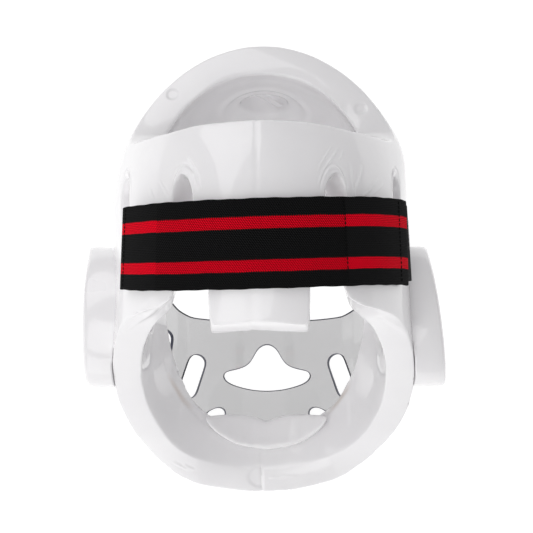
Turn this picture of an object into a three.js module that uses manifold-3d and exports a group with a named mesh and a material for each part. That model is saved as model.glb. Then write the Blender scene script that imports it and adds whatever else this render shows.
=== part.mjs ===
// Karate headgear of dipped foam with a clear mouth shield, lying on its face.
// Lengths are millimetres. The headgear is drawn as worn: X to the wearer's right, Y towards the face,
// Z towards the crown, with the origin level with the ear openings in the middle of the head.
// At the end it is laid down on its forehead and chin guard.

import * as THREE from 'three';
import { mergeVertices } from 'three/addons/utils/BufferGeometryUtils.js';
import Module from 'manifold-3d';

const wasm = await Module();
wasm.setup();

// Driving dimensions of the foam shell
const SHELL_WIDTH = 192;
const FRONT_REACH = 112;
const BACK_REACH = 117;
const CROWN_HEIGHT = 147.5;
const JAW_DEPTH = 142;
const DOME_LEVEL = 45;
const DOME_ROUNDNESS = 1.97;
const FOAM = 20;
const REST_FLAT = 1.3;

// Fineness of the facets
const RING_POINTS = 60;
const WALL_STEPS = 14;
const DOME_STEPS = 9;
const CURVE_STEPS = 4;
const OUTLINE_STEPS = 3;
const OVAL_POINTS = 20;
const CUP_POINTS = 32;
const CUP_EDGE_STEPS = 5;
const STRAP_STEP_DEGREES = 4;

// Openings and vents of the shell
const CROWN_VENT_WIDTH = 37;
const CROWN_VENT_LENGTH = 23;
const CROWN_VENT_FORWARD = 22;
const BACK_VENT_WIDTH = 16;
const BACK_VENT_HEIGHT = 34;
const EAR_HOLE = 24;

// Tongue at the nape
const TONGUE_WIDTH = 61;
const TONGUE_DROP = 63.5;
const TONGUE_NOTCH = 4.5;
const TONGUE_CORNER = 4.5;
const TONGUE_GAP = 18;
const TONGUE_GAP_TOP = 8;

// Ear cups
const CUP_HEIGHT = 96;
const CUP_LENGTH = 66;
const CUP_FORWARD = 12;
const CUP_LEVEL = -31.5;
const CUP_EDGE = 4;
const CUP_PROUD = { left: { top: 21.5, bottom: 22 }, right: { top: 14, bottom: 24.5 } };

// Face shield
const SHIELD = 2.4;
const SHIELD_INSET = 8;
const SHIELD_TOP = -14.5;
const SHIELD_BOTTOM = -99;
const SHIELD_END_RISE = 12.3;
const SHIELD_SEAT = 11;
const MOUTH_WIDTH = 63;
const MOUTH_HEIGHT = 35;
const MOUTH_LEVEL = -48.5;
const SLOT_LENGTH = 34;
const SLOT_WIDTH = 12;

// Chin pad
const PAD = 9;
const PAD_WIDTH = 86;
const PAD_HEIGHT = 25;
const PAD_TOP = -86;

// Strap and the tapes under its ends
const STRAP_WIDTH = 53;
const STRAP = 2.4;
const STRAP_LEVEL = 13.5;
const STRAP_SLOPE = 15;
const STRAP_TILT = 1.4;
const STRAP_LEFT_END = 52;
const STRAP_RIGHT_END = 58;
const TAPE = 1.8;
const TAPE_LENGTH = 30;
const TAPE_WIDTH = 48;
const TAPE_SHOWS = 3;

// Clearance between pieces that touch
const GAP = 0.3;

// Sections of the wall under the dome, as shares: level of the jaw's depth below and of the dome's level
// above the ears, width of half the shell's width, front and back of the two reaches. The last column is
// how square the front of the section is.
const WALL_SECTIONS = [
  { level: 1.0, width: 1.0, front: 1.0, back: 1.0, square: 2.5 },
  { level: 0.0, width: 1.0, front: 0.99, back: 0.985, square: 2.4 },
  { level: -0.18, width: 1.0, front: 0.985, back: 0.945, square: 2.35 },
  { level: -0.36, width: 1.015, front: 0.99, back: 0.87, square: 2.3 },
  { level: -0.52, width: 1.035, front: 1.0, back: 0.82, square: 2.3 },
  { level: -0.65, width: 1.03, front: 1.0, back: 0.78, square: 2.3 },
  { level: -0.8, width: 0.975, front: 0.985, back: 0.72, square: 2.3 },
  { level: -0.92, width: 0.915, front: 0.94, back: 0.66, square: 2.35 },
  { level: -1.0, width: 0.85, front: 0.88, back: 0.6, square: 2.4 },
];
const BACK_SQUARE = 2.1;

// Tall vents at the back, one on each side of each row: turn of the wall from straight back, in degrees,
// and level above the ears as a share of the crown's height
const BACK_VENTS = [
  { turn: 33, level: 0.094 },
  { turn: 66, level: 0.19 },
];

// Edges of the shell's openings seen from the side. Along is a share of the front reach, or of the back
// reach where it is negative, and up is a share of the crown's height, or of the jaw's depth.
const NECK_EDGE = [
  { along: -1.7, up: -0.335 },
  { along: -0.65, up: -0.335 },
  { along: -0.41, up: -0.345 },
  { along: -0.25, up: -0.405 },
  { along: 0.0, up: -0.52 },
  { along: 0.45, up: -0.735 },
  { along: 0.73, up: -0.835 },
  { along: 0.9, up: -0.985 },
  { along: 1.15, up: -1.2 },
];
const FACE_EDGE = [
  { along: 1.34, up: 0.275 },
  { along: 0.9, up: 0.262 },
  { along: 0.63, up: 0.244 },
  { along: 0.47, up: 0.176 },
  { along: 0.41, up: 0.05 },
  { along: 0.405, up: -0.1 },
  { along: 0.44, up: -0.22 },
  { along: 0.51, up: -0.34 },
  { along: 0.61, up: -0.455 },
  { along: 0.735, up: -0.585 },
  { along: 0.84, up: -0.63 },
  { along: 1.34, up: -0.65 },
];
const REAR_EDGE = [
  { along: -1.7, up: 0.35 },
  { along: -1.0, up: 0.405 },
  { along: -0.8, up: 0.415 },
  { along: -0.6, up: 0.44 },
  { along: -0.43, up: 0.475 },
  { along: -0.36, up: 0.55 },
  { along: -0.34, up: 0.7 },
  { along: -0.34, up: 1.3 },
];

// Half of the mouth hole, from its peak down: shares of half its width and of its height
const MOUTH_EDGE = [
  { across: 0.0, up: 0.5 },
  { across: 0.2, up: 0.4 },
  { across: 0.42, up: 0.06 },
  { across: 0.72, up: -0.06 },
  { across: 0.97, up: -0.12 },
  { across: 1.0, up: -0.24 },
  { across: 0.85, up: -0.36 },
  { across: 0.4, up: -0.47 },
  { across: 0.0, up: -0.5 },
];

// Pairs of slots in the shield: where the left and the right one sit, as shares of half the mouth's width and
// of the mouth's height from its middle, then shares of the slot length and width, and the lean in degrees
const SHIELD_SLOTS = [
  { left: 1.68, right: 1.68, up: -0.26, length: 1.0, width: 1.0, lean: 17 },
  { left: 2.3, right: 2.5, up: 0.25, length: 0.75, width: 0.9, lean: 8 },
  { left: 1.17, right: 1.17, up: -1.02, length: 0.46, width: 0.75, lean: 62 },
];

// Right half of the shield's outline in the front view, from the top edge round the raised end that sits in
// the foam. Across is a share of half the shell's width, lift a share of the end's rise above the top edge,
// and drop a share of the way down to the bottom edge.
const SHIELD_EDGE = [
  { across: 0.57, lift: 0, drop: 0 },
  { across: 0.66, lift: 0.3, drop: 0 },
  { across: 0.74, lift: 1, drop: 0 },
  { across: 1.1, lift: 1, drop: 0 },
  { across: 1.1, lift: 0, drop: 0.5 },
  { across: 0.45, lift: 0, drop: 1 },
];

// Wing's lower corner beside the tongue: shares of the gap's width outwards and up from the neck edge
const WING_CORNER = [
  { out: 0, up: 0.75 },
  { out: 0.22, up: 0.22 },
  { out: 0.75, up: 0 },
];

// Half of the chin pad's outline from the middle of its top edge: shares of half its width, and of its
// height down from the top of the bow
const PAD_EDGE = [
  { across: 0.0, down: 0.2 },
  { across: 0.2, down: 0.06 },
  { across: 0.5, down: 0.0 },
  { across: 0.8, down: 0.06 },
  { across: 1.0, down: 0.16 },
  { across: 0.86, down: 0.5 },
  { across: 0.5, down: 0.86 },
  { across: 0.0, down: 1.0 },
];

// A long reach that takes every cutter past the shell
const BEYOND = 2 * SHELL_WIDTH;

function toSolid(geometry) {
  const bare = geometry.clone();
  bare.deleteAttribute('normal');
  bare.deleteAttribute('uv');
  const merged = mergeVertices(bare, 1e-4);
  return new wasm.Manifold(new wasm.Mesh({
    numProp: 3,
    vertProperties: new Float32Array(merged.attributes.position.array),
    triVerts: new Uint32Array(merged.index.array),
  }));
}

function toGeometry(solid) {
  const mesh = solid.getMesh();
  const geometry = new THREE.BufferGeometry();
  geometry.setAttribute('position', new THREE.BufferAttribute(new Float32Array(mesh.vertProperties), 3));
  geometry.setIndex(new THREE.BufferAttribute(new Uint32Array(mesh.triVerts), 1));
  geometry.computeVertexNormals();
  return geometry;
}

// Value of one column of the wall's sections at a height, along a smooth curve through the rows
function sectionValue(column, height) {
  const levels = WALL_SECTIONS.map((row) => row.level * (row.level > 0 ? DOME_LEVEL : JAW_DEPTH));
  const last = levels.length - 2;
  let at = levels.findIndex((level, index) => index <= last && height >= levels[index + 1]);
  if (at < 0) at = last;
  const value = (index) => WALL_SECTIONS[THREE.MathUtils.clamp(index, 0, last + 1)][column];
  const place = (index) => levels[THREE.MathUtils.clamp(index, 0, last + 1)];
  const slope = (index) => (value(index + 1) - value(index - 1)) / (place(index + 1) - place(index - 1));
  const span = place(at + 1) - place(at);
  const t = THREE.MathUtils.clamp((height - place(at)) / span, 0, 1);
  const rise = value(at + 1) - value(at);
  const ease = t * t * (3 - 2 * t);
  const bendIn = t * (1 - t) * (1 - t) * span * slope(at);
  const bendOut = t * t * (t - 1) * span * slope(at + 1);
  return value(at) + rise * ease + bendIn + bendOut;
}

// Size of the shell's section at a height, with every wall moved inwards by the inset
function sectionAt(height, inset) {
  const domeReach = CROWN_HEIGHT - inset - DOME_LEVEL;
  const climb = Math.max(0, (height - DOME_LEVEL) / domeReach);
  const shrink = climb < 1 ? (1 - climb ** DOME_ROUNDNESS) ** (1 / DOME_ROUNDNESS) : 0;
  const level = Math.min(height, DOME_LEVEL);
  return {
    half: (SHELL_WIDTH / 2 * sectionValue('width', level) - inset) * shrink,
    front: (FRONT_REACH * sectionValue('front', level) - inset) * shrink,
    back: (BACK_REACH * sectionValue('back', level) - inset) * shrink,
    square: sectionValue('square', level),
  };
}

// Heights of the rings of the loft, the same share of the dome for every inset
function ringHeights(inset) {
  const heights = [];
  for (let step = 0; step < WALL_STEPS; step += 1) {
    heights.push(THREE.MathUtils.lerp(-JAW_DEPTH, DOME_LEVEL, step / WALL_STEPS));
  }
  for (let step = 0; step < DOME_STEPS; step += 1) {
    const climb = Math.sin(step / DOME_STEPS * Math.PI / 2) ** (2 / DOME_ROUNDNESS);
    heights.push(DOME_LEVEL + (CROWN_HEIGHT - inset - DOME_LEVEL) * climb);
  }
  return heights;
}

function ringPoint(section, turn) {
  const forward = Math.cos(turn);
  const sideways = Math.sin(turn);
  const square = forward > 0 ? section.square : BACK_SQUARE;
  const reach = forward > 0 ? section.front : section.back;
  return [
    section.half * Math.sign(sideways) * Math.abs(sideways) ** (2 / square),
    reach * Math.sign(forward) * Math.abs(forward) ** (2 / square),
  ];
}

// The closed body inside the shell's outer surface, moved inwards by the inset
function headForm(inset, floor = -JAW_DEPTH) {
  const heights = ringHeights(inset);
  const corners = [];
  heights.forEach((height, ring) => {
    const section = sectionAt(height, inset);
    for (let point = 0; point < RING_POINTS; point += 1) {
      const [x, y] = ringPoint(section, point / RING_POINTS * 2 * Math.PI);
      corners.push(x, y, ring === 0 ? floor : height);
    }
  });
  const bottom = corners.length / 3;
  corners.push(0, 0, floor, 0, 0, CROWN_HEIGHT - inset);
  const faces = [];
  for (let ring = 0; ring < heights.length; ring += 1) {
    for (let point = 0; point < RING_POINTS; point += 1) {
      const here = ring * RING_POINTS + point;
      const beside = ring * RING_POINTS + (point + 1) % RING_POINTS;
      if (ring === 0) faces.push(bottom, here, beside);
      if (ring < heights.length - 1) {
        faces.push(here, here + RING_POINTS, beside + RING_POINTS, here, beside + RING_POINTS, beside);
      } else {
        faces.push(here, bottom + 1, beside);
      }
    }
  }
  const geometry = new THREE.BufferGeometry();
  geometry.setAttribute('position', new THREE.Float32BufferAttribute(corners, 3));
  geometry.setIndex(faces);
  return toSolid(geometry);
}

// An outline drawn in the side view, pushed through the headgear from left to right
function sidePrism(points) {
  const geometry = new THREE.ExtrudeGeometry(new THREE.Shape(points), {
    depth: 2 * BEYOND, bevelEnabled: false,
  });
  geometry.translate(0, 0, -BEYOND);
  geometry.applyMatrix4(new THREE.Matrix4().makeBasis(
    new THREE.Vector3(0, 1, 0), new THREE.Vector3(0, 0, 1), new THREE.Vector3(1, 0, 0),
  ));
  return toSolid(geometry);
}

// An outline drawn in the front view, pushed from one depth forward to another
function frontPrism(points, from, to) {
  const geometry = new THREE.ExtrudeGeometry(new THREE.Shape(points), {
    depth: to - from, bevelEnabled: false,
  });
  geometry.rotateX(Math.PI / 2);
  geometry.translate(0, to, 0);
  return toSolid(geometry);
}

function block(low, high) {
  const size = new THREE.Vector3().subVectors(high, low);
  const geometry = new THREE.BoxGeometry(size.x, size.y, size.z);
  geometry.translate(...new THREE.Vector3().addVectors(low, high).multiplyScalar(0.5).toArray());
  return toSolid(geometry);
}

// Smooth curve through the rows of an edge table
function smoothEdge(rows, toPoint, stepsPerRow = CURVE_STEPS) {
  return new THREE.SplineCurve(rows.map(toPoint)).getPoints((rows.length - 1) * stepsPerRow);
}

function sidePoint(row) {
  return new THREE.Vector2(
    row.along * (row.along > 0 ? FRONT_REACH : BACK_REACH),
    row.up * (row.up > 0 ? CROWN_HEIGHT : JAW_DEPTH),
  );
}

// A half outline and its mirror image, as one closed outline without doubled points
function mirrored(half) {
  const otherSide = half.filter((point) => point.x > 0).reverse();
  return [...half, ...otherSide.map((point) => new THREE.Vector2(-point.x, point.y))];
}

// A closed oval, centred on the origin
function oval(width, height) {
  return Array.from({ length: OVAL_POINTS }, (_, index) => {
    const turn = index / OVAL_POINTS * 2 * Math.PI;
    return new THREE.Vector2(width / 2 * Math.cos(turn), height / 2 * Math.sin(turn));
  });
}

// A solid pin of the given outline, whose axis points level and outwards at a turn from straight back
function outwardPin(outline, depth, turn, foot) {
  const geometry = new THREE.ExtrudeGeometry(new THREE.Shape(outline), { depth, bevelEnabled: false });
  geometry.rotateX(Math.PI / 2);
  geometry.rotateZ(turn);
  geometry.translate(foot.x, foot.y, foot.z);
  return toSolid(geometry);
}

const restLine = FRONT_REACH - REST_FLAT;

// Foam shell
function neckCutter() {
  const edge = smoothEdge(NECK_EDGE, sidePoint);
  const low = new THREE.Vector2(edge.at(-1).x, -BEYOND);
  const back = new THREE.Vector2(edge[0].x, -BEYOND);
  const half = TONGUE_WIDTH / 2;
  const slant = TONGUE_NOTCH / half;
  const leftCorner = [
    new THREE.Vector2(-half, TONGUE_CORNER - TONGUE_DROP),
    new THREE.Vector2(TONGUE_CORNER * 0.3 - half, TONGUE_CORNER * 0.3 - TONGUE_DROP),
    new THREE.Vector2(TONGUE_CORNER - half, TONGUE_CORNER * slant - TONGUE_DROP),
  ];
  const rightCorner = leftCorner.map((point) => new THREE.Vector2(-point.x, point.y)).reverse();
  const underTongue = [
    new THREE.Vector2(-half, 0),
    ...leftCorner,
    new THREE.Vector2(0, -TONGUE_DROP + TONGUE_NOTCH),
    ...rightCorner,
    new THREE.Vector2(half, 0),
  ];
  return sidePrism([...edge, low, back]).subtract(frontPrism(underTongue, -BEYOND, 0));
}

// The gap between the tongue and one wing, wider at its mouth where the wing's corner is round
function tongueGap(side) {
  const inner = TONGUE_WIDTH / 2;
  const outer = inner + TONGUE_GAP;
  const neck = NECK_EDGE[0].up * JAW_DEPTH;
  const corner = WING_CORNER.map((row) => new THREE.Vector2(
    side * (outer + row.out * TONGUE_GAP), neck - GAP + row.up * TONGUE_GAP,
  ));
  const outline = [
    new THREE.Vector2(side * inner, TONGUE_GAP_TOP),
    new THREE.Vector2(side * outer, TONGUE_GAP_TOP),
    ...corner,
    new THREE.Vector2(side * inner, -BEYOND),
  ];
  return frontPrism(side > 0 ? outline : outline.reverse(), -BEYOND, -FOAM);
}

function backVent(side, vent) {
  const turn = THREE.MathUtils.degToRad(vent.turn);
  const level = vent.level * CROWN_HEIGHT;
  const section = sectionAt(level, 0);
  const away = Math.hypot(section.half * Math.sin(turn), section.back * Math.cos(turn));
  const surface = new THREE.Vector3(
    side * section.half ** 2 * Math.sin(turn) / away,
    -(section.back ** 2) * Math.cos(turn) / away,
    level,
  );
  const inward = new THREE.Vector3(-side * Math.sin(turn), Math.cos(turn), 0).multiplyScalar(2 * FOAM);
  const outline = oval(BACK_VENT_WIDTH, BACK_VENT_HEIGHT);
  return outwardPin(outline, 3 * FOAM, side * turn, surface.add(inward));
}

function crownVent() {
  const outline = oval(CROWN_VENT_WIDTH, CROWN_VENT_LENGTH);
  const geometry = new THREE.ExtrudeGeometry(new THREE.Shape(outline), {
    depth: BEYOND, bevelEnabled: false,
  });
  geometry.translate(0, CROWN_VENT_FORWARD, 0);
  return toSolid(geometry);
}

function earHoles() {
  const geometry = new THREE.CylinderGeometry(EAR_HOLE / 2, EAR_HOLE / 2, 2 * BEYOND, OVAL_POINTS);
  geometry.rotateZ(Math.PI / 2);
  geometry.translate(0, CUP_FORWARD, CUP_LEVEL);
  return toSolid(geometry);
}

// The thin curved space inside the wall between two insets, in front of a depth and inside an outline
function curvedPlate(outerInset, innerInset, outline, from) {
  return headForm(outerInset)
    .subtract(headForm(innerInset, -JAW_DEPTH - FOAM))
    .intersect(frontPrism(outline, from, BEYOND));
}

function shieldOutline(clearance) {
  const top = SHIELD_TOP + clearance;
  const bottom = SHIELD_BOTTOM - clearance;
  return mirrored(SHIELD_EDGE.map((row) => new THREE.Vector2(
    row.across * SHELL_WIDTH / 2,
    top + row.lift * SHIELD_END_RISE + row.drop * (bottom - top),
  )));
}

const cheekLine = FACE_EDGE[5].along * FRONT_REACH;
const shieldBack = cheekLine - SHIELD_SEAT;

function foamShell() {
  const whole = headForm(0).subtract(headForm(FOAM, -JAW_DEPTH - FOAM));
  const face = smoothEdge(FACE_EDGE, sidePoint);
  const rear = smoothEdge(REAR_EDGE, sidePoint);
  const aboveRear = [
    new THREE.Vector2(rear.at(-1).x, BEYOND),
    new THREE.Vector2(rear[0].x, BEYOND),
  ];
  const floorBlock = block(
    new THREE.Vector3(-BEYOND, restLine, -BEYOND),
    new THREE.Vector3(BEYOND, BEYOND, BEYOND),
  );
  const slit = curvedPlate(
    SHIELD_INSET - GAP, SHIELD_INSET + SHIELD + GAP, shieldOutline(GAP), shieldBack - GAP,
  );
  let shell = whole
    .subtract(neckCutter())
    .subtract(sidePrism(face))
    .subtract(sidePrism([...rear, ...aboveRear]))
    .subtract(crownVent())
    .subtract(earHoles())
    .subtract(slit)
    .subtract(floorBlock);
  for (const side of [-1, 1]) {
    shell = shell.subtract(tongueGap(side));
    for (const vent of BACK_VENTS) shell = shell.subtract(backVent(side, vent));
  }
  return shell;
}

// Ear cup: an oval foam block glued to the side, with a rounded outer edge and the ear hole through it
function earCup(side) {
  const proud = side < 0 ? CUP_PROUD.left : CUP_PROUD.right;
  const corners = [];
  const rings = [{ inset: 0, inShell: true }];
  for (let step = 0; step <= CUP_EDGE_STEPS; step += 1) {
    const bend = step / CUP_EDGE_STEPS * Math.PI / 2;
    rings.push({ inset: CUP_EDGE * (1 - Math.cos(bend)), out: CUP_EDGE * (1 - Math.sin(bend)) });
  }
  for (const ring of rings) {
    for (let point = 0; point < CUP_POINTS; point += 1) {
      const turn = point / CUP_POINTS * 2 * Math.PI;
      const y = (CUP_LENGTH / 2 - ring.inset) * Math.cos(turn);
      const z = (CUP_HEIGHT / 2 - ring.inset) * Math.sin(turn);
      const share = (z / CUP_HEIGHT) + 0.5;
      const face = SHELL_WIDTH / 2 + THREE.MathUtils.lerp(proud.bottom, proud.top, share);
      const x = ring.inShell ? SHELL_WIDTH / 2 - FOAM : face - ring.out;
      corners.push(side * x, CUP_FORWARD + y, CUP_LEVEL + z);
    }
  }
  const inner = corners.length / 3;
  const faceMiddle = SHELL_WIDTH / 2 + (proud.top + proud.bottom) / 2;
  corners.push(side * (SHELL_WIDTH / 2 - FOAM), CUP_FORWARD, CUP_LEVEL);
  corners.push(side * faceMiddle, CUP_FORWARD, CUP_LEVEL);
  const faces = [];
  const add = (a, b, c) => (side > 0 ? faces.push(a, b, c) : faces.push(a, c, b));
  for (let point = 0; point < CUP_POINTS; point += 1) {
    const beside = (point + 1) % CUP_POINTS;
    add(inner, beside, point);
    for (let ring = 0; ring < rings.length - 1; ring += 1) {
      const low = ring * CUP_POINTS;
      const high = low + CUP_POINTS;
      add(low + point, low + beside, high + beside);
      add(low + point, high + beside, high + point);
    }
    const last = (rings.length - 1) * CUP_POINTS;
    add(last + point, last + beside, inner + 1);
  }
  const geometry = new THREE.BufferGeometry();
  geometry.setAttribute('position', new THREE.Float32BufferAttribute(corners, 3));
  geometry.setIndex(faces);
  return toSolid(geometry).subtract(headForm(-GAP)).subtract(earHoles());
}

// Face shield: a bent plate with a bell-shaped mouth hole and breathing slots
function faceShield() {
  let shield = curvedPlate(SHIELD_INSET, SHIELD_INSET + SHIELD, shieldOutline(0), shieldBack);
  const mouth = smoothEdge(MOUTH_EDGE, (row) => new THREE.Vector2(
    row.across * MOUTH_WIDTH / 2, MOUTH_LEVEL + row.up * MOUTH_HEIGHT,
  ), OUTLINE_STEPS);
  shield = shield.subtract(frontPrism(mirrored(mouth).reverse(), 0, BEYOND));
  for (const slot of SHIELD_SLOTS) {
    for (const side of [-1, 1]) {
      const long = SLOT_LENGTH * slot.length - SLOT_WIDTH * slot.width;
      const half = SLOT_WIDTH * slot.width / 2;
      const middle = new THREE.Vector2(
        side * (side < 0 ? slot.left : slot.right) * MOUTH_WIDTH / 2, MOUTH_LEVEL + slot.up * MOUTH_HEIGHT,
      );
      const outline = oval(2 * half, 2 * half).map((point) => new THREE.Vector2(
        point.x, point.y + (point.y > 0 ? long / 2 : -long / 2),
      ));
      const lean = THREE.MathUtils.degToRad(slot.lean) * side;
      const turned = outline.map((point) => point.rotateAround(new THREE.Vector2(), lean).add(middle));
      shield = shield.subtract(frontPrism(turned, 0, BEYOND));
    }
  }
  return shield;
}

function chinPad() {
  const edge = smoothEdge(PAD_EDGE, (row) => new THREE.Vector2(
    row.across * PAD_WIDTH / 2, PAD_TOP - row.down * PAD_HEIGHT,
  ), OUTLINE_STEPS);
  return curvedPlate(FOAM + GAP, FOAM + GAP + PAD, mirrored(edge).reverse(), 0);
}

// The strap runs in a plane of its own, sloping down to the nape and tilted a little sideways
const strapFrame = new THREE.Matrix4()
  .makeRotationX(THREE.MathUtils.degToRad(STRAP_SLOPE))
  .multiply(new THREE.Matrix4().makeRotationY(-THREE.MathUtils.degToRad(STRAP_TILT)))
  .multiply(new THREE.Matrix4().makeTranslation(0, 0, STRAP_LEVEL));

function insideShell(point) {
  const section = sectionAt(point.z, 0);
  if (section.half <= 0) return false;
  const reach = point.y > 0 ? section.front : section.back;
  const square = point.y > 0 ? section.square : BACK_SQUARE;
  return Math.abs(point.x / section.half) ** square + Math.abs(point.y / reach) ** square < 1;
}

// How far the shell reaches at a turn from straight back, at its fullest across the strap's width
function shellReach(turn) {
  const acrossStrap = [-0.5, -0.25, 0, 0.25, 0.5];
  const halvings = 24;
  return Math.max(...acrossStrap.map((share) => {
    let low = 0;
    let high = 2 * BACK_REACH;
    for (let step = 0; step < halvings; step += 1) {
      const middle = (low + high) / 2;
      const point = new THREE.Vector3(
        middle * Math.sin(turn), -middle * Math.cos(turn), share * STRAP_WIDTH,
      ).applyMatrix4(strapFrame);
      if (insideShell(point)) low = middle;
      else high = middle;
    }
    return high;
  }));
}

// A band round the back between two turns, with its own lift off the shell and thickness
function band(from, to, liftAt, thickness, width) {
  const steps = Math.ceil(Math.abs(to - from) / THREE.MathUtils.degToRad(STRAP_STEP_DEGREES));
  const inner = [];
  const outer = [];
  for (let step = 0; step <= steps; step += 1) {
    const turn = THREE.MathUtils.lerp(from, to, step / steps);
    const reach = shellReach(turn) + liftAt(turn);
    inner.push(new THREE.Vector2(reach * Math.sin(turn), -reach * Math.cos(turn)));
    const far = reach + thickness;
    outer.push(new THREE.Vector2(far * Math.sin(turn), -far * Math.cos(turn)));
  }
  const outline = [...outer, ...inner.reverse()];
  const geometry = new THREE.ExtrudeGeometry(new THREE.Shape(outline), {
    depth: width, bevelEnabled: false,
  });
  geometry.translate(0, 0, -width / 2);
  geometry.applyMatrix4(strapFrame);
  return toSolid(geometry);
}

const leftEnd = -THREE.MathUtils.degToRad(STRAP_LEFT_END);
const rightEnd = THREE.MathUtils.degToRad(STRAP_RIGHT_END);
const tapeTurn = TAPE_LENGTH / (SHELL_WIDTH / 2);
const showsTurn = TAPE_SHOWS / (SHELL_WIDTH / 2);
const touch = 2 * GAP;

// The strap lies on the shell, and steps up onto the tape under each end
function strapLift(turn) {
  const onTape = TAPE + touch + GAP;
  const clear = tapeTurn + showsTurn;
  const left = THREE.MathUtils.smoothstep(leftEnd + clear + tapeTurn - turn, 0, tapeTurn);
  const right = THREE.MathUtils.smoothstep(turn - (rightEnd - clear - tapeTurn), 0, tapeTurn);
  return THREE.MathUtils.lerp(touch, onTape, Math.max(left, right));
}

function rearStrap() {
  return band(leftEnd, rightEnd, strapLift, STRAP, STRAP_WIDTH);
}

function strapFixingLeft() {
  return band(leftEnd + showsTurn, leftEnd + tapeTurn, () => touch, TAPE, TAPE_WIDTH);
}

function hookTapeRight() {
  return band(rightEnd - tapeTurn, rightEnd + showsTurn, () => touch, TAPE, TAPE_WIDTH);
}

// Materials
const vinyl = new THREE.MeshStandardMaterial({ color: 0xf1f1ef, roughness: 0.22, metalness: 0 });
const vinylCup = vinyl.clone();
const padVinyl = new THREE.MeshStandardMaterial({ color: 0xe6e6e6, roughness: 0.4, metalness: 0 });
const elastic = new THREE.MeshStandardMaterial({ color: 0x121212, roughness: 0.9, metalness: 0 });
const hookTape = new THREE.MeshStandardMaterial({ color: 0x2a2a2a, roughness: 0.95, metalness: 0 });
const polycarbonate = new THREE.MeshStandardMaterial({
  color: 0xc4c6c8, roughness: 0.1, metalness: 0, transparent: true, opacity: 0.4,
});

function piece(name, solid, material) {
  const mesh = new THREE.Mesh(toGeometry(solid), material);
  mesh.name = name;
  return mesh;
}

const worn = new THREE.Group();
worn.add(
  piece('foam_shell', foamShell(), vinyl),
  piece('ear_cup_left', earCup(-1), vinylCup),
  piece('ear_cup_right', earCup(1), vinylCup),
  piece('face_shield', faceShield(), polycarbonate),
  piece('chin_pad', chinPad(), padVinyl),
  piece('rear_strap', rearStrap(), elastic),
  piece('strap_fixing_left', strapFixingLeft(), hookTape),
  piece('hook_tape_right', hookTapeRight(), hookTape),
);

// Laid on its face: the crown towards +Y, the open neck towards -Y, the back of the head up.
// The origin is on the floor in the middle of the headgear's outline.
worn.rotation.x = -Math.PI / 2;
const headgear = new THREE.Group();
headgear.add(worn);
const extent = new THREE.Box3().setFromObject(headgear);
worn.position.set(
  -(extent.min.x + extent.max.x) / 2,
  -(extent.min.y + extent.max.y) / 2,
  -extent.min.z,
);

export default headgear;
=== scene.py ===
import math

import bmesh
import bpy
import numpy as np
from mathutils import Matrix, Vector
from mathutils.geometry import delaunay_2d_cdt


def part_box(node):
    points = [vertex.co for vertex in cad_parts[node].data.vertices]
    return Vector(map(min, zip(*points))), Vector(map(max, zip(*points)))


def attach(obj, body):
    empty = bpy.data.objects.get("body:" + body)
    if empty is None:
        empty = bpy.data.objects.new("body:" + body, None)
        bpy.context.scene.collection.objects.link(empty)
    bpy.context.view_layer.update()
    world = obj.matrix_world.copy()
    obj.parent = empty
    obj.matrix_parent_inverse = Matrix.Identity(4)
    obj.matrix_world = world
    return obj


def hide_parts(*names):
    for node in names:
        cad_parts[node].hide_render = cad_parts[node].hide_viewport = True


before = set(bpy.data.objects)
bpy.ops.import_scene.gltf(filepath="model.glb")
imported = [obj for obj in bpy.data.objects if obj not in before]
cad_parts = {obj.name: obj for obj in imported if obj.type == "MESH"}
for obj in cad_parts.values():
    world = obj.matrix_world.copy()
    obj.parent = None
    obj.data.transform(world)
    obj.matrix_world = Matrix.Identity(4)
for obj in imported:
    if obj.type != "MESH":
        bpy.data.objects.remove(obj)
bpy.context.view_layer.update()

# Foam shell
# The body of the headgear is one moulding of closed-cell foam about 20 mm thick. It is dipped in liquid
# vinyl, which dries to a seamless glossy white skin that rounds every edge and gathers at the vents.
MM = 0.001
CROWN_HEIGHT = 147.5
BACK_REACH = 117
SHELL_GRAIN = 1.6
SLIT_CLOSING = 1.8
EDGE_ROUNDS = 7
FAIRING_ROUNDS = 240
FAIRING_BEND = 0.02
FAIRING_LOSS = 0.6

shell_low, shell_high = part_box("foam_shell")
head_x = (shell_low.x + shell_high.x) / 2
head_y = shell_high.y - CROWN_HEIGHT * MM
head_z = shell_high.z - BACK_REACH * MM


def laid_down(points):
    """Places on the worn headgear, in mm with x right, y to the face and z up, as it lies on its face."""
    points = np.asarray(points, float)
    x, y, z = points[..., 0], points[..., 1], points[..., 2]
    return np.stack([x * MM + head_x, z * MM + head_y, head_z - y * MM], -1)


def worn(points):
    """The same places back again, from metres as it lies to mm as it is worn."""
    x, y, z = points[..., 0], points[..., 1], points[..., 2]
    return np.stack([x - head_x, head_z - z, y - head_y], -1) / MM


def soft_copy(node, name):
    """A merged copy of a soft solid, to be given its real surface."""
    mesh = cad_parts[node].data.copy()
    mesh.materials.clear()
    edit = bmesh.new()
    edit.from_mesh(mesh)
    bmesh.ops.remove_doubles(edit, verts=edit.verts, dist=0.002 * MM)
    edit.to_mesh(mesh)
    edit.free()
    mesh.name = name
    piece = bpy.data.objects.new(name, mesh)
    bpy.context.collection.objects.link(piece)
    return piece


def finished(piece):
    """Makes the modifiers of a piece part of its mesh."""
    bpy.context.view_layer.update()
    shape = bpy.data.meshes.new_from_object(piece.evaluated_get(bpy.context.evaluated_depsgraph_get()))
    piece.modifiers.clear()
    piece.data = shape
    shape.name = piece.name
    return piece


def regrain(piece, grain):
    """Gives a closed piece an even surface of small squares, in mm, and joins what overlaps."""
    remesh = piece.modifiers.new("grain", "REMESH")
    remesh.mode = "VOXEL"
    remesh.voxel_size = grain * MM
    return finished(piece)


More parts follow.
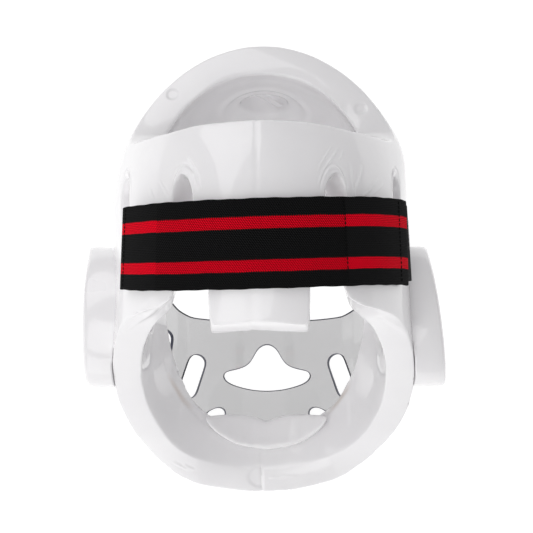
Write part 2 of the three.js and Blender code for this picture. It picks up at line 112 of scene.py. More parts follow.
def places(piece):
    spots = np.empty(len(piece.data.vertices) * 3)
    piece.data.vertices.foreach_get("co", spots)
    return spots.reshape(-1, 3)


def put(piece, spots):
    piece.data.vertices.foreach_set("co", spots.astype(np.float32).ravel())
    piece.data.update()


def outwards(piece):
    normals = np.empty(len(piece.data.vertices) * 3)
    piece.data.vertices.foreach_get("normal", normals)
    return normals.reshape(-1, 3)


def swell(piece, amount):
    """Moves the skin out along its normals by an amount in mm, one for all or one for each point."""
    put(piece, places(piece) + outwards(piece) * (np.reshape(amount, (-1, 1)) * MM))


class Neighbours:
    """Averages over the points next to each point of a mesh."""

    def __init__(self, piece):
        edges = np.empty(len(piece.data.edges) * 2, np.int64)
        piece.data.edges.foreach_get("vertices", edges)
        edges = edges.reshape(-1, 2)
        both = np.concatenate([edges, edges[:, ::-1]])
        both = both[np.argsort(both[:, 0], kind="stable")]
        self.starts = np.flatnonzero(np.r_[True, both[1:, 0] != both[:-1, 0]])
        self.owner, self.beside = both.T
        self.number = np.diff(np.r_[self.starts, len(both)])

    def mean(self, values):
        return np.add.reduceat(values[self.beside], self.starts, axis=0) / self.number.reshape(
            (-1,) + (1,) * (values.ndim - 1)
        )


def relax(piece, rounds):
    """Evens out a skin and rounds its edges."""
    beside = Neighbours(piece)
    spots = places(piece)
    for _ in range(rounds):
        spots += (beside.mean(spots) - spots) * 0.5
    put(piece, spots)


def fair(piece, rounds):
    """Evens out a skin along its faces and along its edges, and leaves each edge as round as it is."""
    beside = Neighbours(piece)
    spots = places(piece)
    normals = outwards(piece)
    bend = 1 - np.einsum("ij,ij->i", normals[beside.beside], normals[beside.owner])
    share = np.exp(-(bend / FAIRING_BEND) ** 2)
    for k in range(rounds):
        if k % 20 == 0:
            put(piece, spots)
            normals = outwards(piece)
        apart = spots[beside.beside] - spots[beside.owner]
        rise = np.einsum("ij,ij->i", apart, normals[beside.owner]) * share
        spots += normals * (0.5 * np.add.reduceat(rise, beside.starts) / beside.number)[:, None]
    put(piece, spots)


def largest_island(piece):
    """Drops the closed pockets that are left inside a filled slit."""
    edit = bmesh.new()
    edit.from_mesh(piece.data)
    left = set(edit.verts)
    islands = []
    while left:
        queue = [left.pop()]
        island = list(queue)
        while queue:
            for edge in queue.pop().link_edges:
                for vert in edge.verts:
                    if vert in left:
                        left.remove(vert)
                        queue.append(vert)
                        island.append(vert)
        islands.append(island)
    islands.sort(key=len)
    for island in islands[:-1]:
        bmesh.ops.delete(edit, geom=island, context="VERTS")
    edit.to_mesh(piece.data)
    edit.free()
    return piece


def finer(piece, centres, radius):
    """Splits the squares of a skin near the given worn places, for small folds."""
    near = np.zeros(len(piece.data.vertices), bool)
    spots = worn(places(piece))
    for centre in centres:
        near |= np.linalg.norm(spots - np.array(centre), axis=1) < radius
    edit = bmesh.new()
    edit.from_mesh(piece.data)
    edit.verts.ensure_lookup_table()
    edges = [edge for edge in edit.edges if near[edge.verts[0].index] and near[edge.verts[1].index]]
    bmesh.ops.subdivide_edges(edit, edges=edges, cuts=1, use_grid_fill=True)
    edit.to_mesh(piece.data)
    edit.free()


MOAT_WIDTH = 2.2
MOAT_DEPTH = 0.45


def fold(spots, route, height, width, taper=0.6):
    """Height over each worn spot of a small fold that runs along a route and dies away at both ends."""
    route = np.array(route, float)
    for _ in range(2):
        inner = np.stack([0.75 * route[:-1] + 0.25 * route[1:], 0.25 * route[:-1] + 0.75 * route[1:]], 1)
        route = np.vstack([route[:1], inner.reshape(-1, 3), route[-1:]])
    route = np.array([spots[np.argmin(((spots - point) ** 2).sum(1))] for point in route])
    for _ in range(2):
        route[1:-1] = (route[:-2] + 2 * route[1:-1] + route[2:]) / 4
    spans = np.linalg.norm(np.diff(route, axis=0), axis=1)
    before = np.r_[0, np.cumsum(spans)]
    away = np.full(len(spots), np.inf)
    share = np.zeros(len(spots))
    for k, span in enumerate(spans):
        line = route[k + 1] - route[k]
        part = np.clip((spots - route[k]) @ line / span ** 2, 0, 1)
        distance = np.linalg.norm(spots - route[k] - part[:, None] * line, axis=1)
        closer = distance < away
        away[closer] = distance[closer]
        share[closer] = (before[k] + part[closer] * span) / before[-1]
    ends = np.sin(np.pi * (0.06 + 0.88 * share)) ** taper
    near = np.exp(-(away / width) ** 2)
    far = np.exp(-(away / (MOAT_WIDTH * width)) ** 2)
    return height * ends * (near - MOAT_DEPTH * far)


shell = soft_copy("foam_shell", "dipped_foam_shell")
regrain(shell, SHELL_GRAIN)
swell(shell, SLIT_CLOSING)
regrain(shell, SHELL_GRAIN)
swell(shell, -SLIT_CLOSING)
largest_island(shell)
relax(shell, EDGE_ROUNDS)
fair(shell, FAIRING_ROUNDS)
swell(shell, FAIRING_LOSS)

# Where the real moulding is fuller than an even head: crown, left side, shoulders and the jaw's lower corners
FULLER = (
    ((0, -25, 140), (0, -0.25, 1), 1.6, 60),
    ((-104, -10, 35), (-1, 0, 0), 5.0, 36),
    ((-98, -32, 74), (-1, 0, 0), 2.0, 22),
    ((98, -32, 74), (1, 0, 0), 3.2, 24),
    ((-62, 88, -118), (-0.6, 0, -0.8), 6.5, 36),
    ((62, 88, -118), (0.6, 0, -0.8), 2.6, 30),
)
spots = worn(places(shell))
moved = np.zeros_like(spots)
for centre, way, amount, spread in FULLER:
    away = np.linalg.norm(spots - np.array(centre), axis=1)
    moved += (amount * np.exp(-(away / spread) ** 2))[:, None] * np.array(way)
put(shell, laid_down(spots + moved))

# The skin puckers above the vents, where it was drawn into them
VENT_FOLDS = (
    (((-42.7, -106, 40), (-38.1, -108.2, 32), (-35.5, -109.2, 25.5), (-34.6, -109.5, 19)), 0.7, 0.7),
    (((-45.5, -104.7, 34.5), (-40.6, -106.8, 31), (-36.6, -108.3, 25.5), (-34, -109, 17)), 0.6, 0.6),
    (((-58.1, -94.9, 25.4), (-54.8, -97.4, 18)), 0.5, 0.6),
    (((-60.7, -93, 30), (-56.9, -95.9, 20.5)), 0.5, 0.6),
    (((-67.2, -85.7, 26.7), (-63.7, -89.4, 17.5)), 0.5, 0.7),
    (((47.9, -103, 46), (43.4, -105.6, 38.2), (39.4, -107.2, 32), (35.9, -108.8, 22)), 0.8, 0.8),
    (((43.5, -104.8, 46), (38.5, -107.6, 37.7), (35.2, -109, 30)), 0.6, 0.6),
    (((52, -100.5, 46), (48.3, -102.6, 38.5)), 0.5, 0.7),
    (((54.8, -97.8, 38), (55.8, -97, 30.3), (56.8, -96.2, 24.4), (57.8, -95.3, 17)), 0.8, 0.7),
    (((61.8, -91.8, 38), (60.2, -93.3, 28.4), (57.2, -95.8, 20)), 0.8, 0.8),
    (((72.3, -80, 33), (66.4, -86.6, 24), (61.5, -91, 18)), 0.9, 0.8),
    (((76.5, -74, 33), (72, -79.9, 26.7), (66.2, -86.5, 20)), 0.8, 0.8),
)
BACK_VENTS = ((45.3, -104.2, 13.9, 33), (84.5, -54.9, 28.0, 66))
VENT_HALF = (8, 17)
WING_FOLDS = (
    (((-91, -34, -53.5), (-87.5, -38.8, -52), (-77.2, -50, -48.5), (-66.5, -65, -47), (-57.8, -85, -45)),
     1.4, 1.8),
    (((-84, -46, -47), (-76.4, -56, -45), (-63.5, -79, -42)), -0.8, 1.6),
    (((91, -34, -53.5), (85, -43, -50), (74, -57, -47.5)), 1.0, 2.0),
)
CHIN_FOLDS = (
    (((-66, 78, -116), (-60, 83, -119.5), (-54, 86, -123)), 0.8, 1.1),
    (((-63, 82, -115), (-57, 86, -119)), 0.9, 0.9),
    (((-58, 80, -121), (-52, 84, -124)), 0.9, 1.0),
    (((3, 94, -129), (12, 93, -129), (22, 92, -128.5)), 0.5, 1.2),
)
PIN_MARKS = ((-59.2, -40, 107.8), (65, -40, 96))
CHIN_DISC = (-4.9, 92.4, -129.4)
over_vents = [(side * x, y, z + 22) for x, y, z, _ in BACK_VENTS for side in (-1, 1)]
ends = [route[k] for route, _, _ in VENT_FOLDS for k in (0, -1)]
finer(shell, over_vents + ends + [route[0] for route, _, _ in CHIN_FOLDS], 12)
finer(shell, over_vents + [*PIN_MARKS, CHIN_DISC], 10)
spots = worn(places(shell))
x, y, z = spots.T
drawn = np.zeros(len(spots))
for route, height, width in VENT_FOLDS + WING_FOLDS + CHIN_FOLDS:
    drawn += fold(spots, route, height, width)
for vent_x, vent_y, vent_z, turn in BACK_VENTS:
    for side in (-1, 1):
        along = (x - side * vent_x) * math.cos(math.radians(turn)) * side
        along += (y - vent_y) * math.sin(math.radians(turn))
        ring = np.hypot(along / VENT_HALF[0], (z - vent_z) / VENT_HALF[1])
        near = (np.hypot(x - side * vent_x, y - vent_y) < 24) & (z > vent_z) & (z < vent_z + 40)
        top = np.clip((z - vent_z) / VENT_HALF[1], 0, 1)
        lip = 0.5 * np.exp(-((ring - 1.13) / 0.08) ** 2) - 0.6 * np.exp(-((ring - 1.27) / 0.055) ** 2)
        drawn += np.where(near, lip * top, 0)

# The back panel was moulded in two halves that meet in a low ridge with a fine line beside it
RIDGE = 0.9
RIDGE_AT = 0.8
RIDGE_HALF = 46
SEAM = 0.4
SEAM_AT = -1.2
SEAM_WIDTH = 0.7
behind = (y < -80) & (z < 66)
drawn += np.where(behind, RIDGE * np.clip(1 - np.abs(x - RIDGE_AT) / RIDGE_HALF, 0, 1), 0)
drawn += np.where(behind & (z > -20), -SEAM * np.exp(-((x - SEAM_AT) / SEAM_WIDTH) ** 2), 0)

# Two flat marks of the mould's pins on the arch, and one half round with a seam under the chin
PIN_DEPTH = 0.7
PIN_RADIUS = 3.8
DISC_DEPTH = 0.9
DISC_RADIUS = 8.2
DISC_CUT = -3.6
MARK_EDGE = 0.3
for mark in PIN_MARKS:
    away = np.linalg.norm(spots - np.array(mark), axis=1)
    drawn -= PIN_DEPTH / (1 + np.exp((away - PIN_RADIUS) / MARK_EDGE))
away = np.linalg.norm(spots - np.array(CHIN_DISC), axis=1)
drawn -= np.where(x < DISC_CUT, DISC_DEPTH / (1 + np.exp((away - DISC_RADIUS) / MARK_EDGE)), 0)
drawn -= 0.5 * np.exp(-((x - DISC_CUT) / 1.0) ** 2) * ((z < -112) & (y > 60))

# A low ring round the crown vent on the inside, left by the vent's plug
RING_HALF = (30, 23)
VENT_FORWARD = 22
ring = np.hypot(x / RING_HALF[0], (y - VENT_FORWARD) / RING_HALF[1])
under = (z > 105) & (z < 134)
drawn += np.where(under, np.exp(-((ring - 1) / 0.1) ** 2), 0)

# The lining is a thinner sheet glued inside each cheek: its edge is a small step parallel to the face
# opening. A tan band along each step is painted shade, the shade that falls in the gap there.
CHEEK_LINES = (
    ((-70.5, 45.1, -54.2), (-68.3, 52, -63.4), (-64, 60.4, -70.4), (-59.6, 66.9, -75.7), (-53, 73.8, -83.1),
     (-47.6, 78.2, -88.8), (-42.8, 81.2, -93.3)),
    ((61.6, 62.8, -61.4), (58.9, 67, -67.7), (54.7, 72.1, -73.9), (49.9, 76.7, -79.5), (44.2, 80.7, -85.2)),
)
painted_gap_shade = np.zeros(len(spots))
for route in CHEEK_LINES:
    line = fold(spots, route, 1.0, 1.2, taper=0.3)
    drawn -= 0.8 * np.maximum(line, 0)
    # Painted shade: a wider band along the middle of each step, where the vinyl's colour turns tan
    painted_gap_shade = np.maximum(painted_gap_shade, np.maximum(fold(spots, route[1:5], 1.0, 3.0, taper=0.8), 0))

# The tongue's faint middle crease
drawn -= np.where((np.abs(x) < 28) & (z < -20) & (y < -60), 0.35 * np.exp(-((x + 4) / 2.5) ** 2), 0)
swell(shell, drawn)
# The painted gap shade is kept on the skin for the vinyl's colour to read
gap_shade_layer = shell.data.attributes.new("gap_shade", "FLOAT", "POINT")
gap_shade_layer.data.foreach_set("value", painted_gap_shade.astype(np.float32))


def node_tree(name):
    """A new material with its tree, its surface shader and a helper that adds and joins nodes."""
    material = bpy.data.materials.new(name)
    material.use_nodes = True
    tree = material.node_tree
    shader = tree.nodes["Principled BSDF"]

    def add(kind, inputs=(), **settings):
        node = tree.nodes.new(kind)
        for key, value in settings.items():
            setattr(node, key, value)
        for key, value in dict(inputs).items():
            if isinstance(value, bpy.types.NodeSocket):
                tree.links.new(value, node.inputs[key])
            else:
                node.inputs[key].default_value = value
        return node

    return material, tree, shader, add


# The tan of the painted shade in the gaps beside the cheeks
GAP_SHADE_TAN = (0.6, 0.5, 0.43, 1)


def dipped_vinyl(name, grey, roughness, ripple):
    """Vinyl skin over foam: nearly white, glossy, a little uneven, with the fine orange peel of a dip. The
    darker patches of its uneven tone lean lilac, which is painted shade.
    """
    material, tree, shader, add = node_tree(name)
    place = add("ShaderNodeTexCoord").outputs["Object"]
    cloudy = add("ShaderNodeTexNoise", {"Vector": place, "Scale": 28.0, "Detail": 3.0, "Roughness": 0.5})
    # Random patches of darker tone; their lilac cast is painted shade
    cloudy_tint_and_shade = add("ShaderNodeValToRGB", {"Fac": cloudy.outputs["Fac"]})
    cloudy_tint_and_shade.color_ramp.elements[0].position = 0.3
    cloudy_tint_and_shade.color_ramp.elements[0].color = (grey * 0.968, grey * 0.955, grey * 0.972, 1)
    cloudy_tint_and_shade.color_ramp.elements[1].position = 0.7
    cloudy_tint_and_shade.color_ramp.elements[1].color = (grey, grey * 0.99, grey, 1)
    # Painted shade: tan mixed into the colour where the skin carries the gap shade
    gap_shade = add("ShaderNodeAttribute", attribute_name="gap_shade").outputs["Fac"]
    gap_shaded = add("ShaderNodeMix", {0: gap_shade, 6: cloudy_tint_and_shade.outputs["Color"], 7: GAP_SHADE_TAN}, data_type="RGBA")
    tree.links.new(gap_shaded.outputs[2], shader.inputs["Base Color"])
    gloss = add("ShaderNodeMapRange", {
        "Value": cloudy.outputs["Fac"], "To Min": roughness * 0.85, "To Max": roughness * 1.2,
    })
    tree.links.new(gloss.outputs["Result"], shader.inputs["Roughness"])
    peel = add("ShaderNodeTexNoise", {"Vector": place, "Scale": 420.0, "Detail": 2.0})
    waves = add("ShaderNodeTexNoise", {"Vector": place, "Scale": 55.0, "Detail": 2.0})
    fine = add("ShaderNodeBump", {"Height": peel.outputs["Fac"], "Strength": 0.35, "Distance": 0.08 * MM})
    soft = add("ShaderNodeBump", {
        "Height": waves.outputs["Fac"], "Strength": 0.6, "Distance": ripple * MM,
        "Normal": fine.outputs["Normal"],
    })
    tree.links.new(soft.outputs["Normal"], shader.inputs["Normal"])
    shader.inputs["IOR"].default_value = 1.5
    shader.inputs["Coat Weight"].default_value = 1.0
    shader.inputs["Coat Roughness"].default_value = 0.05
    return material


shell_vinyl = dipped_vinyl("shell_vinyl", 0.92, 0.3, 0.7)


def dressed(piece, material, node):
    """Gives a piece its finish, hides the solid it stands for and hangs it on the root body."""
    piece.data.materials.clear()
    piece.data.materials.append(material)
    piece.data.shade_smooth()
    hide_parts(node)
    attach(piece, "root")
    return piece


def kept_above_floor(piece):
    spots = places(piece)
    spots[:, 2] = np.maximum(spots[:, 2], 0)
    put(piece, spots)


kept_above_floor(shell)
dressed(shell, shell_vinyl, "foam_shell")

# A strip of vinyl across the crown vent, put where the vent shows a light streak of reflection on its glossy
# wall: a painted highlight made as a solid strip
WEB_ROUTE = ((-7, 7, 127.6), (-2, 12, 127.4), (3, 19, 127), (7, 25, 126.4), (13, 31, 125.6), (18, 35, 125))
WEB_HALF = 3.4
WEB_THICK = 0.6
highlight_strip_mesh = bpy.data.meshes.new("crown_vent_highlight_strip")
edit = bmesh.new()
rings = []
for k, place in enumerate(WEB_ROUTE):
    flare = WEB_HALF * (1 + 0.5 * abs(2 * k / (len(WEB_ROUTE) - 1) - 1) ** 2)
    section = ((-flare, 0), (-flare / 2, WEB_THICK), (flare / 2, WEB_THICK), (flare, 0), (0, -WEB_THICK))
    rings.append([
        edit.verts.new(laid_down([place[0] + across * 0.8, place[1] - across * 0.6, place[2] + rise]))
        for across, rise in section
    ])
for low, high in zip(rings, rings[1:]):
    for j in range(len(low)):
        edit.faces.new((low[j], low[j - 1], high[j - 1], high[j]))
edit.faces.new(rings[0])
edit.faces.new(rings[-1])
bmesh.ops.recalc_face_normals(edit, faces=edit.faces)
edit.to_mesh(highlight_strip_mesh)
edit.free()
highlight_strip = bpy.data.objects.new("crown_vent_highlight_strip", highlight_strip_mesh)
bpy.context.collection.objects.link(highlight_strip)
rounder = highlight_strip.modifiers.new("round", "SUBSURF")
rounder.levels = rounder.render_levels = 2
finished(highlight_strip)
highlight_strip.data.materials.append(shell_vinyl)
highlight_strip.data.shade_smooth()
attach(highlight_strip, "root")

# Face shield
# A clear, lightly smoked plate of polycarbonate, 2.4 mm thick, cut flat with a bell-shaped mouth hole and
# breathing slots, then bent and pushed into a slit in the foam. Its cut edges look nearly black.
SHIELD = 2.4
SHIELD_MESH = 3.2
RIM_STEP = 1.2
BEVEL = 0.4
UNROLL = 90.0

shield_solid = soft_copy("face_shield", "shield_source")
edit = bmesh.new()
edit.from_mesh(shield_solid.data)
bpy.data.objects.remove(shield_solid)
edit.faces.ensure_lookup_table()


def unrolled(point):
    """Turn from straight ahead, unrolled to mm, level and reach of a place on the worn shield."""
    x, y, z = worn(np.array(point))
    return UNROLL * math.atan2(x, y), z, math.hypot(x, y)


front_faces = []
for face in edit.faces:
    x, y, z = worn(np.array(face.calc_center_median()))
    normal = face.normal
    facing = (normal.x * x - normal.z * y) / math.hypot(x, y)
    if facing > 0.72:
        front_faces.append(face)
front = set(front_faces)
samples = np.array([unrolled(v.co) for face in front_faces for v in face.verts])
rim = {}
for edge in edit.edges:
    if sum(face in front for face in edge.link_faces) == 1:
        a, b = edge.verts
        rim.setdefault(a, []).append(b)
        rim.setdefault(b, []).append(a)
loops = []
while rim:
    start, (following, _) = next(iter(rim.items()))
    loop = [start]
    before, here = start, following
    while here is not start:
        loop.append(here)
        onward = rim[here]
        before, here = here, onward[0] if onward[0] is not before else onward[1]
    for vert in loop:
        del rim[vert]
    loops.append([unrolled(vert.co)[:2] for vert in loop])
edit.free()


def reach_terms(turn, level):
    t, z = np.asarray(turn) / UNROLL, np.asarray(level) / UNROLL
    return np.stack([
        t ** 0, t ** 2, t ** 4, t ** 6, t ** 8, z, z ** 2, z ** 3, z ** 4,
        t ** 2 * z, t ** 4 * z, t ** 6 * z, t ** 2 * z ** 2, t ** 4 * z ** 2, t ** 2 * z ** 3,
    ], -1)


reach_fit = np.linalg.lstsq(reach_terms(samples[:, 0], samples[:, 1]), samples[:, 2], rcond=None)[0]


def evenly(loop, step):
    """A closed outline with a point every step."""
    closed = np.vstack([loop, loop[:1]])
    along = np.r_[0, np.cumsum(np.linalg.norm(np.diff(closed, axis=0), axis=1))]
    count = max(12, round(along[-1] / step))
    wanted = np.linspace(0, along[-1], count, endpoint=False)
    return np.stack([np.interp(wanted, along, closed[:, k]) for k in (0, 1)], -1)


def rounded(loop, rounds=8):
    """A closed outline with its corners and small steps smoothed away."""
    points = evenly(np.array(loop), RIM_STEP)
    for _ in range(rounds):
        points = (np.roll(points, 1, axis=0) + 2 * points + np.roll(points, -1, axis=0)) / 4
    return points


def within(points, loop):
    """Which points lie inside a closed outline."""
    x, y = points[:, :1], points[:, 1:]
    a, b = loop, np.roll(loop, -1, axis=0)
    rises = (a[:, 1] > y) != (b[:, 1] > y)
    climb = np.where(b[:, 1] == a[:, 1], 1e-9, b[:, 1] - a[:, 1])
    across = a[:, 0] + (y - a[:, 1]) * (b[:, 0] - a[:, 0]) / climb
    return ((x < across) & rises).sum(1) % 2 == 1


def set_in(loop, hole):
    """The line beside a cut edge where its bevel ends, on the side of the plate."""
    along = np.roll(loop, -1, axis=0) - np.roll(loop, 1, axis=0)
    across = np.stack([-along[:, 1], along[:, 0]], -1) / np.linalg.norm(along, axis=1)[:, None]
    beside = loop + across * BEVEL
    if within(beside, loop).mean() > 0.5 if hole else within(beside, loop).mean() < 0.5:
        beside = loop - across * BEVEL
    return beside


loops.sort(key=lambda loop: np.ptp(np.array(loop)[:, 0]), reverse=True)
edges_cut = [evenly(rounded(loop), RIM_STEP) for loop in loops]
outline, holes = edges_cut[0], edges_cut[1:]
bevel_ends = [set_in(loop, hole=k > 0) for k, loop in enumerate(edges_cut)]
low, high = outline.min(0), outline.max(0)
grid = np.array([
    (x + (row % 2) * SHIELD_MESH / 2, z)
    for row, z in enumerate(np.arange(low[1], high[1], SHIELD_MESH * 0.87))
    for x in np.arange(low[0], high[0], SHIELD_MESH)
])
rim_points = np.vstack(edges_cut + bevel_ends)
clear = np.min(np.linalg.norm(grid[:, None] - rim_points[None], axis=2), axis=1) > SHIELD_MESH * 0.55
inside = within(grid, outline) & clear
for hole in holes:
    inside &= ~within(grid, hole)
flat_points = np.vstack([rim_points, grid[inside]])
flat_edges = []
at = 0
for loop in edges_cut + bevel_ends:
    flat_edges += [(at + k, at + (k + 1) % len(loop)) for k in range(len(loop))]
    at += len(loop)
made = delaunay_2d_cdt([Vector(p) for p in flat_points], flat_edges, [], 0, 1e-6)
made_points = np.array(made[0])
triangles = np.array(made[2])
centres = made_points[triangles].mean(1)
kept = within(centres, outline)
for hole in holes:
    kept &= ~within(centres, hole)
bevelled = ~within(centres, bevel_ends[0])
for loop in bevel_ends[1:]:
    bevelled |= within(centres, loop)
turn = made_points[:, 0] / UNROLL
reach = reach_terms(made_points[:, 0], made_points[:, 1]) @ reach_fit
bent = laid_down(np.stack([reach * np.sin(turn), reach * np.cos(turn), made_points[:, 1]], -1))
plate = bpy.data.meshes.new("clear_face_shield")
plate.from_pydata(bent.tolist(), [], triangles[kept].tolist())
shield = bpy.data.objects.new("clear_face_shield", plate)
bpy.context.collection.objects.link(shield)
plate.polygons.foreach_set("material_index", bevelled[kept].astype(np.int32))
plate.update()
if plate.polygons[0].normal.dot(Vector(laid_down([0, 500, 0])) - plate.polygons[0].center) < 0:
    plate.flip_normals()
thick = shield.modifiers.new("thickness", "SOLIDIFY")
thick.thickness = SHIELD * MM
thick.offset = -1
thick.use_even_offset = False
thick.use_rim = True


def smoked_polycarbonate():
    material, tree, shader, add = node_tree("smoked_polycarbonate")
    place = add("ShaderNodeTexCoord").outputs["Object"]
    smear = add("ShaderNodeTexNoise", {"Vector": place, "Scale": 60.0, "Detail": 4.0})
    rub = add("ShaderNodeMapRange", {"Value": smear.outputs["Fac"], "To Min": 0.04, "To Max": 0.12})
    tree.links.new(rub.outputs["Result"], shader.inputs["Roughness"])
    shader.inputs["Base Color"].default_value = (0.56, 0.557, 0.562, 1)
    shader.inputs["Transmission Weight"].default_value = 1.0
    shader.inputs["IOR"].default_value = 1.585
    return material


def cut_polycarbonate():
    material, tree, shader, add = node_tree("cut_polycarbonate_edge")
    place = add("ShaderNodeTexCoord").outputs["Object"]
    saw = add("ShaderNodeTexNoise", {"Vector": place, "Scale": 300.0, "Detail": 2.0})
    shade = add("ShaderNodeValToRGB", {"Fac": saw.outputs["Fac"]})
    shade.color_ramp.elements[0].color = (0.012, 0.014, 0.03, 1)
    shade.color_ramp.elements[1].color = (0.05, 0.055, 0.1, 1)
    tree.links.new(shade.outputs["Color"], shader.inputs["Base Color"])
    shader.inputs["Roughness"].default_value = 0.35
    return material


finished(shield)
dark = np.empty(len(shield.data.polygons), np.int32)
shield.data.polygons.foreach_get("material_index", dark)
dressed(shield, smoked_polycarbonate(), "face_shield")
shield.data.materials.append(cut_polycarbonate())
shield.data.polygons.foreach_set("material_index", dark)
shield.data.set_sharp_from_angle(angle=math.radians(40))

# Chin pad
# A soft pad of foam in a cover of satin white vinyl, with a bow-shaped upper edge. It is glued to the
# inside of the chin guard.
PAD_GRAIN = 1.1
PAD_ROUNDS = 12
pad = soft_copy("chin_pad", "chin_pad_cushion")
regrain(pad, PAD_GRAIN)
relax(pad, PAD_ROUNDS)
kept_above_floor(pad)
dressed(pad, dipped_vinyl("pad_vinyl", 0.9, 0.42, 0.5), "chin_pad")

# Ear cups
# Oval blocks of the same dipped foam, one bedded in glue over each ear, with tight edges and a hearing
# hole. Their upper outer corners are fuller than their ovals.
CUP_GRAIN = 1.2
CUP_ROUNDS = 2
CUP_FAIRING = 80
CUP_BED = 1.5
CUP_CORNER = 2.2
CUP_CORNER_SPREAD = 13
cup_vinyl = dipped_vinyl("cup_vinyl", 0.91, 0.28, 0.5)
for side in ("left", "right"):
    cup = soft_copy("ear_cup_" + side, "dipped_ear_cup_" + side)
    regrain(cup, CUP_GRAIN)
    relax(cup, CUP_ROUNDS)
    fair(cup, CUP_FAIRING)
    spots = places(cup)
    outer, inner = spots[:, 0].min(), spots[:, 0].max()
    if spots[:, 0].mean() > 0:
        outer, inner = inner, outer
    bedded = (outer - spots[:, 0]) / (outer - inner)
    spots[:, 0] += np.sign(inner - outer) * CUP_BED * MM * bedded
    corner = np.array([outer, spots[:, 1].max(), spots[:, 2].mean()])
    near = np.exp(-(np.linalg.norm(spots - corner, axis=1) / (CUP_CORNER_SPREAD * MM)) ** 2)
    spots += CUP_CORNER * MM * near[:, None] * [np.sign(outer), 1, 0]
    put(cup, spots)
    dressed(cup, cup_vinyl, "ear_cup_" + side)

# Tapes under the strap
# Woven hook tape, stitched through the strap's right end and left open as its fastening, and a plain
# tape that holds its left end down.
STRAP_LEVEL = 13.5
STRAP_SLOPE = math.radians(15)
STRAP_TILT = math.radians(1.4)
strap_plane = Matrix.Rotation(STRAP_SLOPE, 3, "X") @ Matrix.Rotation(-STRAP_TILT, 3, "Y")


def band_section(node):
    """Inner and outer reach of a band by its turn from straight back, and half its width, in mm."""
    spots = worn(places(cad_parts[node])) @ np.array(strap_plane)
    spots[:, 2] -= STRAP_LEVEL
    turns = np.round(np.degrees(np.arctan2(spots[:, 0], -spots[:, 1])), 1)
    reach = np.hypot(spots[:, 0], spots[:, 1])
    rows = [(turn, reach[turns == turn].min(), reach[turns == turn].max()) for turn in np.unique(turns)]
    return np.array(rows), np.abs(spots[:, 2]).max()


LEFT_LEAN = 3.3
END_NARROWS = 0.05
END_SAGS = 1.7
DOUBLED_RISE = 0.5
elastic_turns = band_section("rear_strap")[0][[0, -1], 0]


class Band:
    """A flat band bent round the back, in the slanting plane of the strap, with its ends cut askew."""

    def __init__(self, rows, half_width, left_lean=0.0, right_lean=0.0, doubled=()):
        self.half_width = half_width
        self.left_lean = left_lean
        self.right_lean = right_lean
        self.turns = np.linspace(rows[0, 0], rows[-1, 0], 161)
        self.inner = np.interp(self.turns, rows[:, 0], rows[:, 1])
        self.outer = np.interp(self.turns, rows[:, 0], rows[:, 2])
        for low, high in doubled:
            self.outer += np.where((self.turns > low) & (self.turns < high), DOUBLED_RISE, 0)
        for _ in range(20):
            self.inner[1:-1] = (self.inner[:-2] + 2 * self.inner[1:-1] + self.inner[2:]) / 4
            self.outer[1:-1] = (self.outer[:-2] + 2 * self.outer[1:-1] + self.outer[2:]) / 4
        middle = (self.inner + self.outer) / 2
        angle = np.radians(self.turns)
        path = np.stack([middle * np.sin(angle), -middle * np.cos(angle)], -1)
        self.along = np.r_[0, np.cumsum(np.linalg.norm(np.diff(path, axis=0), axis=1))]
        self.length = self.along[-1]

    def at_turn(self, turn):
        return np.interp(turn, self.turns, self.along)

    def place(self, along, across, through=1.0, lift=0.0):
        """A place on the band: mm from its left end, -1 to 1 across it and 0 to 1 from its inside out."""
        share = along / self.length
        turn = np.interp(along, self.along, self.turns)
        turn += self.left_lean * (1 - share) ** 3 * (across + 1) / 2
        turn = np.radians(turn + self.right_lean * share ** 3 * (1 - across) / 2)
        inner, outer = np.interp(along, self.along, self.inner), np.interp(along, self.along, self.outer)
        reach = inner + (outer - inner) * through + lift
        waver = 0.22 * np.sin(along / 3.1) * np.sin(along / 7.3 + 1) * abs(across)
        from_left = (turn - np.radians(elastic_turns[0])) / np.radians(elastic_turns[1] - elastic_turns[0])
        narrower = 1 - END_NARROWS * np.clip(1 - from_left, 0, 1) ** 6
        sag = END_SAGS * np.clip(from_left, 0, 1) ** 8
        level = across * self.half_width * narrower + waver - sag + STRAP_LEVEL
        spot = np.array([reach * np.sin(turn), -reach * np.cos(turn), level])
        return laid_down(spot @ np.array(strap_plane).T)

    def piece(self, name, profile):
        ring = len(profile)
        spots = [self.place(along, across, through) for along in self.along for across, through in profile]
        marks = [(along, (across + 1) * self.half_width) for along in self.along for across, _ in profile]
        count = len(self.along)
        faces = [
            (k * ring + j, k * ring + (j + 1) % ring, (k + 1) * ring + (j + 1) % ring, (k + 1) * ring + j)
            for k in range(count - 1) for j in range(ring)
        ]
        faces.append(tuple(reversed(range(ring))))
        faces.append(tuple((count - 1) * ring + j for j in range(ring)))
        mesh = bpy.data.meshes.new(name)
        mesh.from_pydata([list(spot) for spot in spots], [], faces)
        layer = mesh.uv_layers.new(name="weave")
        corner_marks = np.array(marks)[np.array([loop.vertex_index for loop in mesh.loops])]
        layer.data.foreach_set("uv", (corner_marks * MM * 10).ravel())
        edit = bmesh.new()
        edit.from_mesh(mesh)
        bmesh.ops.recalc_face_normals(edit, faces=edit.faces)
        edit.to_mesh(mesh)
        edit.free()
        made = bpy.data.objects.new(name, mesh)
        bpy.context.collection.objects.link(made)
        return made


def band_profile(points, edge=0.03):
    """The outline of a flat band's section, with thin rounded edges."""
    outer = [(across, 1.0) for across in np.linspace(-1 + edge, 1 - edge, points)]
    inner = [(across, 0.0) for across in np.linspace(1 - edge, -1 + edge, points)]
    return outer + [(1 - edge * 0.3, 0.85), (1, 0.5), (1 - edge * 0.3, 0.15)] + inner + [
        (-1 + edge * 0.3, 0.15), (-1, 0.5), (-1 + edge * 0.3, 0.85),
    ]


